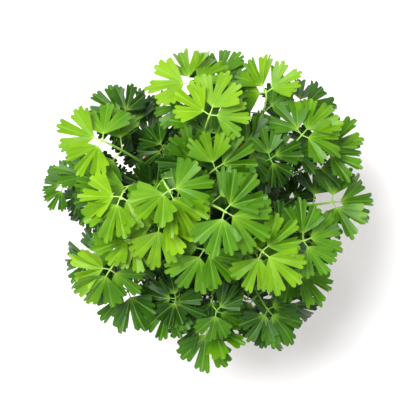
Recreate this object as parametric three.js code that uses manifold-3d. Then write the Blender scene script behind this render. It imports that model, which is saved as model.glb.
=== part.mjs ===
// Flat-leaf parsley in a plain clay pot, in millimetres, +Z up.
// The origin is the centre of the pot's foot, on the surface that the pot stands on.
// Run with the npm packages three and manifold-3d; the default export is a THREE.Group of named meshes.
import * as THREE from "three";
import { mergeVertices } from "three/addons/utils/BufferGeometryUtils.js";
import Module from "manifold-3d";

const wasm = await Module();
wasm.setup();

// ---------------------------------------------------------------- sizes, in millimetres and degrees
const POT = {
  height: 112, footRadius: 44, wall: 5, floor: 6, sides: 40,
  rimRadius: 65, rimHeight: 24, rimThickness: 8, rimLip: 5, rimEase: 1,
};
const DRAIN = { radius: 5, ringRadius: 22, count: 3, sides: 12 };
const SEAT_GAP = 0.3; // between pieces that rest on each other
const SOIL_BELOW_RIM = 13;
// One crown stands in the middle and the others in a ring, with their centres inFromRim from the pot's mouth.
const CROWN = {
  radius: 5.5, rise: 7, rootLength: 38, inFromRim: 27, ringCount: 8, firstBearing: 20, sides: 10,
};
// A stalk rises straight for straightShare of its height, and arrives at its end from lower down, where
// arriveShare of its span and arriveUp set how upright it arrives.
const STALK = {
  radius: 1.1, sides: 4, steps: 5, forkAt: 0.98, pairAt: 0.8, lean: 4, apart: 45,
  straightShare: 0.5, arriveShare: 0.3, arriveUp: 0.9,
};
const BLADE = { length: 28.5, thickness: 0.6, neckWidth: 1.4, droop: 0.16, fold: 0.1 };

// The canopy is a dome: its radius and height reach the last forks of the leaves, above the soil.
// Blades tilt up by pitch at the middle, and down towards the edge.
const CANOPY = { radius: 124, height: 134, shoulder: 0.72, lowest: 24, pitch: 16, pitchFall: 42 };

// How far leaves differ. shift, heading, height, sink and shrink grow with the tries that a leaf takes.
const VARIES = {
  shift: 10, heading: 24, height: 0.08, sink: 1, shrink: 0.2, lateShrink: 0.06,
  pitch: 16, roll: 18, rise: 0.2, lay: 1.8, arrive: 0.12, footBearing: 15, footApart: 1,
  turn: 9, lift: 13, tilt: 14, droop: 0.14, fold: 0.16,
};
const CLEARANCE = 2.7; // between the sample points of one leaf and those of the next
const TRIES = 1000; // for the strays to grow to the full amounts above
const FIRST_STRAY = 0.15; // of those amounts, at the first try
const MOST_STRAY = 2.2; // times those amounts
const MOST_TRIES = 8 * TRIES;

// A leaf is a stalk with five leaflets: one at its end, a pair beside it and a smaller pair further down.
// turn is from the leaf's heading, lift from the blade's plane, and neck is the leaflet's own short stalk.
const LEAFLETS = [
  { at: STALK.forkAt, turn: 0, size: 1, neck: 6, lift: 0 },
  { at: STALK.forkAt, turn: 76, size: 0.9, neck: 5, lift: 6 },
  { at: STALK.forkAt, turn: -76, size: 0.9, neck: 5, lift: 6 },
  { at: STALK.pairAt, turn: 66, size: 0.78, neck: 9, lift: -4 },
  { at: STALK.pairAt, turn: -66, size: 0.78, neck: 9, lift: -4 },
];

// Where each leaf's last fork stands: the bearing round the pot, the reach as a share of the canopy's
// radius, the heading of the end leaflet, the height as a share of the dome above that point, and the size.
const PLAN = [
  // the crest
  [348, 0.13, 330, 1.08, 1.1], [158, 0.21, 305, 1.04, 1.05], [267, 0.26, 235, 1.02, 1.1],
  [79, 0.25, 35, 1.0, 1.05], [203, 0.29, 255, 1.0, 1.0], [60, 0.05, 22, 0.86, 1.0],
  [55, 0.4, 18, 1.04, 1.1], [320, 0.42, 318, 1.0, 1.05], [176, 0.49, 262, 1.05, 1.0],
  [89, 0.55, 62, 1.0, 1.0], [152, 0.31, 170, 0.92, 0.95], [108, 0.27, 82, 0.88, 0.95],
  [293, 0.26, 275, 0.86, 1.0],
  // the upper skirt
  [173, 0.58, 212, 0.95, 1.05], [147, 0.73, 158, 0.95, 1.1], [98, 0.76, 116, 0.88, 1.1],
  [343, 0.62, 18, 0.98, 1.0], [37, 0.72, 50, 0.9, 1.0], [134, 0.47, 95, 1.0, 1.15],
  [213, 0.69, 238, 0.85, 1.0], [63, 0.78, 110, 0.85, 1.0], [133, 0.76, 132, 0.85, 1.0],
  [25, 0.8, 52, 0.72, 1.05],
  // the lower skirt
  [127, 0.73, 95, 0.75, 0.95], [163, 0.74, 90, 0.75, 1.0], [168, 0.88, 152, 0.62, 0.8],
  [179, 0.8, 202, 0.66, 1.0], [204, 0.74, 186, 0.74, 1.0], [226, 0.73, 222, 0.62, 1.1],
  [246, 0.63, 262, 0.68, 1.05], [270, 0.74, 262, 0.52, 1.1], [299, 0.82, 292, 0.42, 0.85],
  [302, 0.74, 305, 0.62, 0.95], [313, 0.82, 338, 0.48, 1.1], [326, 0.68, 302, 0.62, 1.0],
  [338, 0.66, 345, 0.74, 1.05], [3, 0.8, 12, 0.6, 1.1], [22, 0.82, 305, 0.48, 0.95],
  [46, 0.87, 88, 0.74, 1.1], [84, 0.8, 84, 0.64, 0.9],
  // the shoulder, in the room that is left
  [61, 0.45, 75, 0.95, 1.0], [204, 0.5, 188, 0.92, 0.95],
  [213, 0.48, 226, 0.97, 1.05], [227, 0.5, 275, 0.78, 0.9],
  [0, 0.38, 355, 0.98, 1.0], [16, 0.49, 75, 0.88, 1.0], [280, 0.56, 298, 0.7, 0.95],
  // deep in the middle
  [30, 0.2, 60, 0.62, 0.9], [250, 0.16, 250, 0.6, 0.9],
];

// ---------------------------------------------------------------- small helpers
const GROUND_UP = new THREE.Vector3(0, 0, 1);
const radians = THREE.MathUtils.degToRad;
const fraction = (x) => x - Math.floor(x);
const along = (bearing, reach, z) =>
  new THREE.Vector3(reach * Math.cos(radians(bearing)), reach * Math.sin(radians(bearing)), z);
const plus = (point, ...terms) =>
  terms.reduce((sum, [vector, share]) => sum.addScaledVector(vector, share), point.clone());

// Evenly spread values from -1 to 1 for each leaf and step, which is a try or a leaflet of the leaf.
// Each trait has a pair of primes, whose square roots are the strides.
const TRAITS = {
  sink: [2, 3], heading: [5, 7], height: [7, 11], pitch: [11, 13], roll: [13, 17], shiftX: [17, 19],
  shiftY: [19, 23], rise: [23, 29], arrive: [29, 31], lay: [53, 59],
  footBearing: [59, 61], footApart: [61, 67],
  turn: [31, 37], lift: [37, 41], tilt: [41, 43], droop: [43, 47], fold: [47, 53],
};
function vary(leaf, step, trait) {
  const [leafStride, stepStride] = TRAITS[trait].map(Math.sqrt);
  return 2 * fraction((leaf + 1) * leafStride + step * stepStride) - 1;
}

// A closed geometry as a manifold-3d solid, and back.
function solidOf(geometry) {
  const bare = geometry.clone();
  bare.deleteAttribute("normal");
  bare.deleteAttribute("uv");
  const merged = mergeVertices(bare, 1e-4);
  return new wasm.Manifold(new wasm.Mesh({
    numProp: 3,
    vertProperties: new Float32Array(merged.attributes.position.array),
    triVerts: new Uint32Array(merged.index.array),
  }));
}

function geometryOf(solid) {
  const mesh = solid.getMesh();
  const geometry = new THREE.BufferGeometry();
  geometry.setAttribute("position", new THREE.BufferAttribute(mesh.vertProperties, 3));
  geometry.setIndex(new THREE.BufferAttribute(mesh.triVerts, 1));
  return geometry;
}

// A solid of revolution about Z from [radius, height] points that start and end on the axis.
function turned(profile, sides) {
  const lathe = new THREE.LatheGeometry(profile.map(([r, z]) => new THREE.Vector2(r, z)), sides);
  return lathe.rotateX(Math.PI / 2);
}

const clay = new THREE.MeshStandardMaterial({ color: 0xb5683f, roughness: 0.85, metalness: 0 });
const soilFinish = new THREE.MeshStandardMaterial({ color: 0x33241a, roughness: 1, metalness: 0 });
const crownFinish = new THREE.MeshStandardMaterial({ color: 0xb9bd7c, roughness: 0.6, metalness: 0 });
const leafFinish = new THREE.MeshStandardMaterial({ color: 0x4f9a1e, roughness: 0.5, metalness: 0 });

// ---------------------------------------------------------------- pot, soil and crowns
const soilTop = POT.height - SOIL_BELOW_RIM;
const mouthRadius = POT.rimRadius - POT.rimThickness;
const crownRing = mouthRadius - CROWN.inFromRim;
// The inside wall's radius at a height above the ground.
const potInside = (z) => {
  const foot = POT.footRadius - POT.wall;
  return foot + ((mouthRadius - foot) * (z - POT.floor)) / (POT.height - POT.floor);
};

function potMesh() {
  const underRim = POT.height - POT.rimHeight;
  const body = solidOf(turned([
    [0, 0], [POT.footRadius, 0],
    [POT.rimRadius - POT.rimLip, underRim], [POT.rimRadius - POT.rimEase, underRim],
    [POT.rimRadius, POT.height - POT.rimEase], [POT.rimRadius - POT.rimEase, POT.height],
    [mouthRadius, POT.height], [potInside(POT.floor), POT.floor], [0, POT.floor],
  ], POT.sides));
  const drill = new THREE.CylinderGeometry(DRAIN.radius, DRAIN.radius, 3 * POT.floor, DRAIN.sides);
  drill.rotateX(Math.PI / 2);
  let drilled = body;
  for (let i = 0; i < DRAIN.count; i++) {
    const at = along(90 + (360 * i) / DRAIN.count, DRAIN.ringRadius, POT.floor / 2);
    drilled = drilled.subtract(solidOf(drill.clone().translate(at.x, at.y, at.z)));
  }
  return new THREE.Mesh(geometryOf(drilled), clay);
}

// A crown: the root's rounded shoulder above the soil, and the tapering root below it.
function crownGeometry(grow) {
  const r = CROWN.radius + grow;
  return turned([
    [0, -CROWN.rootLength - grow], [r * 0.2, -CROWN.rootLength - grow], [r * 0.9, -CROWN.rise],
    [r, 0], [r * 0.9, CROWN.rise * 0.7], [r * 0.5, CROWN.rise], [0, CROWN.rise],
  ], CROWN.sides);
}

const crownPlaces = [new THREE.Vector3(0, 0, soilTop)];
for (let i = 0; i < CROWN.ringCount; i++)
  crownPlaces.push(along(CROWN.firstBearing + (360 * i) / CROWN.ringCount, crownRing, soilTop));

function soilMesh() {
  const low = POT.floor + SEAT_GAP;
  let soil = solidOf(turned([
    [0, low], [potInside(low) - SEAT_GAP, low], [potInside(soilTop) - SEAT_GAP, soilTop], [0, soilTop],
  ], POT.sides));
  for (const at of crownPlaces)
    soil = soil.subtract(solidOf(crownGeometry(SEAT_GAP).translate(at.x, at.y, at.z)));
  return new THREE.Mesh(geometryOf(soil), soilFinish);
}

// ---------------------------------------------------------------- how a leaf grows
// Each leaf grows from the crown nearest to its own place, drawn in from the canopy to the crowns, so
// that a leaf at the canopy's edge comes from OUTERMOST times the ring's radius.
const OUTERMOST = 1.35;
const plans = PLAN.map(([bearing, reach, heading, level, size], leaf) => {
  const inner = along(bearing, OUTERMOST * crownRing * reach, soilTop);
  const distances = crownPlaces.map((at) => at.distanceTo(inner));
  return { leaf, bearing, reach, heading, level, size, crown: distances.indexOf(Math.min(...distances)) };
});

// A crown's leaves stand round it in the order of the directions that they lean to, evenly, and no
// further apart than STALK.apart.
for (const [crown, at] of crownPlaces.entries()) {
  const outward = Math.atan2(at.y, at.x);
  const leaning = (plan) => {
    const d = along(plan.bearing, plan.reach * CANOPY.radius, soilTop).sub(at);
    return fraction((Math.atan2(d.y, d.x) - outward) / (2 * Math.PI) + 0.5);
  };
  const grown = plans.filter((plan) => plan.crown === crown).sort((a, b) => leaning(a) - leaning(b));
  const apart = Math.min(360 / grown.length, STALK.apart);
  grown.forEach((plan, i) => {
    plan.footBearing = THREE.MathUtils.radToDeg(outward) + (i - (grown.length - 1) / 2) * apart;
  });
}

// The leaf's shape for one try: the further the try, the wider the leaf strays from its plan, and the
// lower and smaller it grows.
function grow(plan, attempt) {
  const { leaf, reach, bearing } = plan;
  const varied = (trait) => VARIES[trait] * vary(leaf, attempt, trait);
  const late = Math.min(attempt / TRIES, MOST_STRAY);
  const stray = FIRST_STRAY + late;
  const size = plan.size * (1 - VARIES.shrink * late - (VARIES.lateShrink * attempt) / TRIES);
  const heading = plan.heading + stray * varied("heading");
  const dome = Math.sqrt(1 - CANOPY.shoulder * reach * reach);
  const sink = (late * (VARIES.sink + varied("sink"))) / 2;
  const level = plan.level * (1 + stray * varied("height") - sink);
  const height = Math.max(CANOPY.height * dome * level, CANOPY.lowest);
  const pitch = CANOPY.pitch - CANOPY.pitchFall * reach + varied("pitch");

  // The stalk sets off from beside its crown, a little outwards; its lowest corner just clears the soil.
  const lean = along(plan.footBearing + late * varied("footBearing"), 1, 0);
  const beside = CROWN.radius + STALK.radius + 2 * SEAT_GAP;
  const apart = beside + late * (VARIES.footApart + varied("footApart"));
  const rise = (STALK.straightShare + varied("rise")) * height;
  const lay = STALK.lean * (1 + stray * (1 + varied("lay")));
  const foot = plus(
    crownPlaces[plan.crown],
    [lean, apart],
    [GROUND_UP, SEAT_GAP + (STALK.radius * lay) / Math.hypot(lay, rise)],
  );
  const fork = along(bearing, reach * CANOPY.radius, soilTop + height);
  fork.x += stray * VARIES.shift * vary(leaf, attempt, "shiftX");
  fork.y += stray * VARIES.shift * vary(leaf, attempt, "shiftY");

  // The blade's frame: forward along the heading, tipped by the pitch, then rolled about forward.
  const forward = along(heading, Math.cos(radians(pitch)), Math.sin(radians(pitch)));
  const side = along(heading - 90, 1, 0).applyAxisAngle(forward, radians(varied("roll")));
  const normal = new THREE.Vector3().crossVectors(side, forward);

  // The stalk turns from straight up into the blade over its last third.
  const arrive = plus(forward, [GROUND_UP, STALK.arriveUp]).normalize();
  const stalk = new THREE.CubicBezierCurve3(
    foot,
    plus(foot, [GROUND_UP, rise], [lean, lay]),
    plus(fork, [arrive, -(STALK.arriveShare + varied("arrive")) * fork.distanceTo(foot)]),
    fork,
  );

  const leaflets = LEAFLETS.map((kind, i) => {
    const differs = (trait) => VARIES[trait] * vary(leaf, i, trait);
    const turn = radians(kind.turn + differs("turn"));
    const ahead = plus(new THREE.Vector3(), [forward, Math.cos(turn)], [side, -Math.sin(turn)]);
    const across = new THREE.Vector3().crossVectors(ahead, normal);
    ahead.applyAxisAngle(across, radians(kind.lift + differs("lift")));
    across.applyAxisAngle(ahead, radians(differs("tilt")));
    return {
      origin: stalk.getPointAt(kind.at),
      ahead,
      across,
      normal: new THREE.Vector3().crossVectors(across, ahead),
      length: BLADE.length * size * kind.size,
      neck: kind.neck * size,
      droop: BLADE.droop + differs("droop"),
      fold: BLADE.fold + differs("fold"),
    };
  });
  return { stalk, leaflets };
}

// A point of a leaflet's surface: x across and y along, as shares of the blade's length.
// The blade arches down towards its tip and folds up along its midrib.
function onBlade({ origin, ahead, across, normal, length, neck, droop, fold }, x, y, rise = 0) {
  const bend = length * (fold * Math.abs(x) - droop * Math.max(y, 0) ** 2);
  return plus(origin, [ahead, neck + y * length], [across, x * length], [normal, bend + rise]);
}

// ---------------------------------------------------------------- room between leaves
// Half the blade's width at a share of its length.
const halfWidth = (y) => Math.min(1.2 * y, 0.5, 0.5 - 1.6 * (y - 0.75));
const SAMPLES = { along: 0.08, across: 5 };

function samplesOf({ stalk, leaflets }) {
  const points = [];
  const rings = stalk.getSpacedPoints(STALK.steps);
  const between = Math.ceil(stalk.getLength() / STALK.steps / CLEARANCE);
  for (let i = 0; i < STALK.steps; i++)
    for (let j = 0; j < between; j++) points.push(rings[i].clone().lerp(rings[i + 1], j / between));
  for (const leaflet of leaflets) {
    points.push(plus(leaflet.origin, [leaflet.ahead, leaflet.neck / 2]));
    for (let y = 1; y > 0; y -= SAMPLES.along)
      for (let i = -SAMPLES.across; i <= SAMPLES.across; i++)
        points.push(onBlade(leaflet, (i / SAMPLES.across) * halfWidth(y), y));
  }
  return points;
}

// The points already taken, by the cell of a grid that they stand in.
const taken = new Map();
const cellOf = (p, dx = 0, dy = 0, dz = 0) => {
  const [i, j, k] = [p.x / CLEARANCE + dx, p.y / CLEARANCE + dy, p.z / CLEARANCE + dz].map(Math.floor);
  return ((i + 1024) * 2048 + j + 1024) * 2048 + k;
};

// Whether a point is too near the ground, the soil, the pot's wall or a crown.
function blocked(p) {
  const r = Math.hypot(p.x, p.y);
  if (r > POT.rimRadius + CLEARANCE) return p.z < CLEARANCE;
  if (p.z < soilTop || (r > potInside(p.z) - CLEARANCE && p.z < POT.height + CLEARANCE)) return true;
  const beside = CROWN.radius + STALK.radius + SEAT_GAP;
  const low = p.z < soilTop + CROWN.rise + CLEARANCE;
  return low && crownPlaces.some((at) => Math.hypot(p.x - at.x, p.y - at.y) < beside);
}

function take(points, owner) {
  for (const p of points) {
    const cell = cellOf(p);
    if (!taken.has(cell)) taken.set(cell, []);
    taken.get(cell).push({ p, owner });
  }
}

function hasRoom(points, owner) {
  for (const p of points) {
    if (blocked(p)) return false;
    for (let dx = -1; dx <= 1; dx++)
      for (let dy = -1; dy <= 1; dy++)
        for (let dz = -1; dz <= 1; dz++)
          for (const other of taken.get(cellOf(p, dx, dy, dz)) ?? [])
            if (other.owner !== owner && p.distanceTo(other.p) < CLEARANCE) return false;
  }
  return true;
}

// Every stalk's first few millimetres are kept free from the start.
function reserveFoot(plan) {
  const foot = plus(crownPlaces[plan.crown], [along(plan.footBearing, 1, 0), CROWN.radius + STALK.radius]);
  take([2, 5, 8].map((z) => plus(foot, [GROUND_UP, z])), plan);
}

// Tries one shape after another until the leaf has room, and takes up that room.
function settle(plan) {
  for (let attempt = 0; attempt < MOST_TRIES; attempt++) {
    const leaf = grow(plan, attempt);
    const points = samplesOf(leaf);
    if (!hasRoom(points, plan)) continue;
    take(points, plan);
    return leaf;
  }
  throw new Error("leaf " + plan.leaf + " finds no room");
}

// ---------------------------------------------------------------- leaf solids
// Half of a leaflet's outline, from its neck round a side lobe to the tip, with its three main lobes.
const HALF_OUTLINE = [[0.48, 0.42], [0.43, 0.72], [0.2, 0.62], [0, 1]];

function bladeSolid(leaflet) {
  const neck = BLADE.neckWidth / 2 / leaflet.length;
  const right = [[neck, 0], ...HALF_OUTLINE.slice(0, -1)];
  const left = right.map(([x, y]) => [-x, y]).reverse();
  const start = [0, -(leaflet.neck + SEAT_GAP) / leaflet.length];
  const outline = [start, ...right, HALF_OUTLINE.at(-1), ...left];
  const n = outline.length;
  const tip = n / 2;
  const position = [];
  for (const rise of [BLADE.thickness / 2, -BLADE.thickness / 2])
    for (const [x, y] of outline) {
      const p = onBlade(leaflet, x, y, rise);
      position.push(p.x, p.y, p.z);
    }
  const faces = [[0, 1, n - 1], [1, tip, n - 1]];
  for (let i = 1; i < tip - 1; i++) faces.push([1, i + 1, i + 2], [n - 1, n - i - 2, n - i - 1]);
  const index = [];
  for (const [a, b, c] of faces) index.push(a, b, c, n + a, n + c, n + b);
  for (let i = 0; i < n; i++) {
    const j = (i + 1) % n;
    index.push(i, n + i, n + j, i, n + j, j);
  }
  const geometry = new THREE.BufferGeometry();
  geometry.setAttribute("position", new THREE.Float32BufferAttribute(position, 3));
  geometry.setIndex(index);
  return solidOf(geometry);
}

const stalkSection = new THREE.Shape(Array.from({ length: STALK.sides }, (_, i) => {
  const p = along((360 * i) / STALK.sides, STALK.radius, 0);
  return new THREE.Vector2(p.x, p.y);
}));

function leafMesh({ stalk, leaflets }) {
  const tube = new THREE.ExtrudeGeometry(stalkSection, { steps: STALK.steps, extrudePath: stalk });
  const joined = leaflets.reduce((sum, leaflet) => sum.add(bladeSolid(leaflet)), solidOf(tube));
  return new THREE.Mesh(geometryOf(joined), leafFinish);
}

// ---------------------------------------------------------------- the assembly
const parsley = new THREE.Group();
const place = (name, mesh) => {
  mesh.name = name;
  parsley.add(mesh);
};

place("clay_pot", potMesh());
place("potting_soil", soilMesh());
crownPlaces.forEach((at, i) => {
  const crown = new THREE.Mesh(geometryOf(solidOf(crownGeometry(0))), crownFinish);
  crown.position.copy(at);
  place("crown_" + (i + 1), crown);
});
plans.forEach(reserveFoot);
plans.forEach((plan) => {
  place("leaf_" + String(plan.leaf + 1).padStart(2, "0"), leafMesh(settle(plan)));
});

export default parsley;
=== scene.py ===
# %% [markdown]
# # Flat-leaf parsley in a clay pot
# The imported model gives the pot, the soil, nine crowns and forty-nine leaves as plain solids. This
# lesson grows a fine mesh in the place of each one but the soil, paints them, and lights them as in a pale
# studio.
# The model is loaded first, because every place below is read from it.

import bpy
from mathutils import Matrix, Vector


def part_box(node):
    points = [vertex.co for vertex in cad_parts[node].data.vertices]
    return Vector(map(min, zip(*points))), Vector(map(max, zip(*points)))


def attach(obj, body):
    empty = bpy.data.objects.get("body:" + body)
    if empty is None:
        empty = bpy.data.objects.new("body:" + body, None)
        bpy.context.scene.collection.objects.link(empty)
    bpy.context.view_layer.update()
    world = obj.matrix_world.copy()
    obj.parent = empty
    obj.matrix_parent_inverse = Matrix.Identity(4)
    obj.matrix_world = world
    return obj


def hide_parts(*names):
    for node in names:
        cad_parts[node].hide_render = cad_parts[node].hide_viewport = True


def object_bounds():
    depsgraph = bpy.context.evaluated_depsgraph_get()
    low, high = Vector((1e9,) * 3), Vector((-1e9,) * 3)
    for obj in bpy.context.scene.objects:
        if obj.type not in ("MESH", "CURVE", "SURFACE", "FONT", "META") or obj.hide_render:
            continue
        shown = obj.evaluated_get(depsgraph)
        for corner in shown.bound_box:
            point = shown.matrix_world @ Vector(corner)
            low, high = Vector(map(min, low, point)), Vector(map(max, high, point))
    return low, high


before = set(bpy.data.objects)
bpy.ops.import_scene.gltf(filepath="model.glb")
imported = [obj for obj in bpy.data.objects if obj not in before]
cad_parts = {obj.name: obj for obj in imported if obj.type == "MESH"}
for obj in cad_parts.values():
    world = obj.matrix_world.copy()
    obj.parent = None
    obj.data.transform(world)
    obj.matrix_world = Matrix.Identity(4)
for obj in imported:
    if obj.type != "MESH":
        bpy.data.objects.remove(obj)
cad_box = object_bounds()
print("CAD box in millimetres:", [[round(1000 * v, 1) for v in corner] for corner in cad_box])

# %% Libraries and units
import math

import bmesh
import bpy
import numpy as np
from mathutils import Matrix, Vector, noise
from mathutils.kdtree import KDTree

MM = 0.001
UP = Vector((0, 0, 1))

# %% [markdown]
# ## Shader arithmetic
# A material is a graph of nodes, and a long graph is hard to read as code. `Value` wraps an output
# socket, so that `1 - mask * 0.5` adds the Math nodes by itself. `Paint` makes a material and adds any
# other node: its settings come first, because some of them change which sockets the node has.

# %% Value and Paint
class Value:
    """A shader number that takes part in Python arithmetic."""

    def __init__(self, paint, socket):
        self.paint = paint
        self.socket = socket

    def math(self, operation, first, second):
        return self.paint.node("ShaderNodeMath", {"operation": operation}, {0: first, 1: second})

    def __add__(self, other):
        return self.math("ADD", self, other)

    __radd__ = __add__

    def __sub__(self, other):
        return self.math("SUBTRACT", self, other)

    def __rsub__(self, other):
        return self.math("SUBTRACT", other, self)

    def __mul__(self, other):
        return self.math("MULTIPLY", self, other)

    __rmul__ = __mul__

    def fraction(self):
        return self.math("FRACT", self, 0)

    def size(self):
        return self.math("ABSOLUTE", self, 0)

    def ease(self, low, high):
        """0 below low, 1 above high and smooth between; low may be above high."""
        settings = {"interpolation_type": "SMOOTHSTEP"}
        if low < high:
            return self.paint.node("ShaderNodeMapRange", settings, {0: self, 1: low, 2: high, 3: 0, 4: 1})
        return self.paint.node("ShaderNodeMapRange", settings, {0: self, 1: high, 2: low, 3: 1, 4: 0})


class Paint:
    """A material with a Principled shader, and one method that adds every other node."""

    def __init__(self, name, roughness, specular=0.5):
        self.material = bpy.data.materials.new(name)
        self.material.use_nodes = True
        self.tree = self.material.node_tree
        self.shader = self.tree.nodes["Principled BSDF"]
        self.shader.inputs["Roughness"].default_value = roughness
        self.shader.inputs["Specular IOR Level"].default_value = specular

    def node(self, kind, settings, values, output=0):
        made = self.tree.nodes.new(kind)
        stops = settings.pop("stops", None)
        for name, value in settings.items():
            setattr(made, name, value)
        if stops:
            ramp = made.color_ramp.elements
            while len(ramp) < len(stops):
                ramp.new(1)
            for element, (position, colour) in zip(ramp, stops):
                element.position = position
                element.color = (*colour, 1)
        for key, value in values.items():
            self.put(made.inputs[key], value)
        return Value(self, made.outputs[output])

    def put(self, socket, value):
        if isinstance(value, Value):
            self.tree.links.new(value.socket, socket)
        elif isinstance(value, tuple) and len(value) == 3 and socket.type == "RGBA":
            socket.default_value = (*value, 1)
        else:
            socket.default_value = value

    def set(self, **values):
        for name, value in values.items():
            self.put(self.shader.inputs[name.replace("_", " ")], value)

    def place(self):
        return self.node("ShaderNodeTexCoord", {}, {}, "Object")

    def attribute(self, name):
        return self.node("ShaderNodeAttribute", {"attribute_name": name}, {}, "Fac")

    def noise(self, scale, detail=3, roughness=0.5):
        values = {"Vector": self.place(), "Scale": scale, "Detail": detail, "Roughness": roughness}
        return self.node("ShaderNodeTexNoise", {}, values)

    def mix(self, factor, first, second, blend="MIX"):
        settings = {"data_type": "RGBA", "blend_type": blend, "clamp_factor": True}
        return self.node("ShaderNodeMix", settings, {0: factor, 6: first, 7: second}, 2)

    def bump(self, height, distance, strength=1.0):
        values = {"Strength": strength, "Distance": distance, "Height": height}
        return self.node("ShaderNodeBump", {}, values)


# %% [markdown]
# ## Pieces
# A finished piece is one mesh object at the origin, with its place in its vertices. It rides on the
# only body, `root`, takes the paints that it is given, and may stand for a CAD node.

# %% A helper that finishes a piece
def piece(name, bm, paints, node=None, smooth=True):
    mesh = bpy.data.meshes.new(name)
    bm.to_mesh(mesh)
    bm.free()
    for face in mesh.polygons:
        face.use_smooth = smooth
    for paint in paints:
        mesh.materials.append(paint.material)
    made = bpy.data.objects.new(name, mesh)
    bpy.context.scene.collection.objects.link(made)
    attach(made, "root")
    if node:
        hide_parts(node)
    return made


# %% [markdown]
# ## How the plant grows
# Each leaf follows a plan: where its last fork stands round the pot, which way it heads, how high and
# how large it is. From the plan and a count of tries, one rule gives the leaf's stalk and its five
# leaflets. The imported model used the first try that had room. The rule is repeated here in
# millimetres, and the try is found again by looking for the leaflets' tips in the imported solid, so the
# fine leaves stand exactly where the plain ones do.

# %% The plan
CROWN = {"radius": 5.5, "ring_radius": 30}
STALK = {
    "radius": 1.1, "fork_at": 0.98, "pair_at": 0.8, "lean": 4, "apart": 45,
    "straight_share": 0.5, "arrive_share": 0.3, "arrive_up": 0.9,
}
BLADE = {"length": 28.5, "thickness": 0.6, "droop": 0.16, "fold": 0.1}
CANOPY = {"radius": 124, "height": 134, "shoulder": 0.72, "lowest": 24, "pitch": 16, "pitch_fall": 42}
SEAT_GAP = 0.3
TRIES = 1000
FIRST_STRAY = 0.15
MOST_STRAY = 2.2
MOST_TRIES = 8 * TRIES
OUTERMOST = 1.35  # times the ring of crowns, for a leaf at the canopy's edge

# bearing, reach, heading, height and size of each leaf
PLAN = [
    # the crest
    (348, 0.13, 330, 1.08, 1.1), (158, 0.21, 305, 1.04, 1.05), (267, 0.26, 235, 1.02, 1.1),
    (79, 0.25, 35, 1.0, 1.05), (203, 0.29, 255, 1.0, 1.0), (60, 0.05, 22, 0.86, 1.0),
    (55, 0.4, 18, 1.04, 1.1), (320, 0.42, 318, 1.0, 1.05), (176, 0.49, 262, 1.05, 1.0),
    (89, 0.55, 62, 1.0, 1.0), (152, 0.31, 170, 0.92, 0.95), (108, 0.27, 82, 0.88, 0.95),
    (293, 0.26, 275, 0.86, 1.0),
    # the upper skirt
    (173, 0.58, 212, 0.95, 1.05), (147, 0.73, 158, 0.95, 1.1), (98, 0.76, 116, 0.88, 1.1),
    (343, 0.62, 18, 0.98, 1.0), (37, 0.72, 50, 0.9, 1.0), (134, 0.47, 95, 1.0, 1.15),
    (213, 0.69, 238, 0.85, 1.0), (63, 0.78, 110, 0.85, 1.0), (133, 0.76, 132, 0.85, 1.0),
    (25, 0.8, 52, 0.72, 1.05),
    # the lower skirt
    (127, 0.73, 95, 0.75, 0.95), (163, 0.74, 90, 0.75, 1.0), (168, 0.88, 152, 0.62, 0.8),
    (179, 0.8, 202, 0.66, 1.0), (204, 0.74, 186, 0.74, 1.0), (226, 0.73, 222, 0.62, 1.1),
    (246, 0.63, 262, 0.68, 1.05), (270, 0.74, 262, 0.52, 1.1), (299, 0.82, 292, 0.42, 0.85),
    (302, 0.74, 305, 0.62, 0.95), (313, 0.82, 338, 0.48, 1.1), (326, 0.68, 302, 0.62, 1.0),
    (338, 0.66, 345, 0.74, 1.05), (3, 0.8, 12, 0.6, 1.1), (22, 0.82, 305, 0.48, 0.95),
    (46, 0.87, 88, 0.74, 1.1), (84, 0.8, 84, 0.64, 0.9),
    # the shoulder, in the room that is left
    (61, 0.45, 75, 0.95, 1.0), (204, 0.5, 188, 0.92, 0.95),
    (213, 0.48, 226, 0.97, 1.05), (227, 0.5, 275, 0.78, 0.9),
    (0, 0.38, 355, 0.98, 1.0), (16, 0.49, 75, 0.88, 1.0), (280, 0.56, 298, 0.7, 0.95),
    # deep in the middle
    (30, 0.2, 60, 0.62, 0.9), (250, 0.16, 250, 0.6, 0.9),
]
print(len(PLAN), "leaves planned")

# %% [markdown]
# Nothing in a plant repeats exactly, and yet a script has to give the same plant each time. The golden
# trick for that is a fraction: multiples of a square root, taken modulo one, are spread evenly and
# never repeat, and they need no random number generator.

# %% Even variety
VARIES = {
    "shift": 10, "heading": 24, "height": 0.08, "sink": 1, "shrink": 0.2, "late_shrink": 0.06,
    "pitch": 16, "roll": 18, "rise": 0.2, "lay": 1.8, "arrive": 0.12, "foot_bearing": 15, "foot_apart": 1,
    "turn": 9, "lift": 13, "tilt": 14, "droop": 0.14, "fold": 0.16,
}
TRAITS = {
    "sink": (2, 3), "heading": (5, 7), "height": (7, 11), "pitch": (11, 13), "roll": (13, 17),
    "shift_x": (17, 19), "shift_y": (19, 23), "rise": (23, 29), "arrive": (29, 31), "lay": (53, 59),
    "foot_bearing": (59, 61), "foot_apart": (61, 67),
    "turn": (31, 37), "lift": (37, 41), "tilt": (41, 43), "droop": (43, 47), "fold": (47, 53),
    "tint": (67, 71), "lobe": (71, 73), "width": (73, 79), "ruffle": (79, 83), "skew": (83, 89),
    "slit": (89, 97),
}


def vary(leaf, step, trait):
    leaf_stride, step_stride = (math.sqrt(prime) for prime in TRAITS[trait])
    spread = (leaf + 1) * leaf_stride + step * step_stride
    return 2 * (spread - math.floor(spread)) - 1


def along(bearing, reach, z):
    return Vector((reach * math.cos(math.radians(bearing)), reach * math.sin(math.radians(bearing)), z))


def turned(vector, axis, degrees):
    return Matrix.Rotation(math.radians(degrees), 3, axis) @ vector


# %% [markdown]
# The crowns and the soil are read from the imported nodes. Each leaf belongs to the crown nearest to its
# place, and a crown's leaves stand round it in the order of the directions that they lean to.

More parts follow.
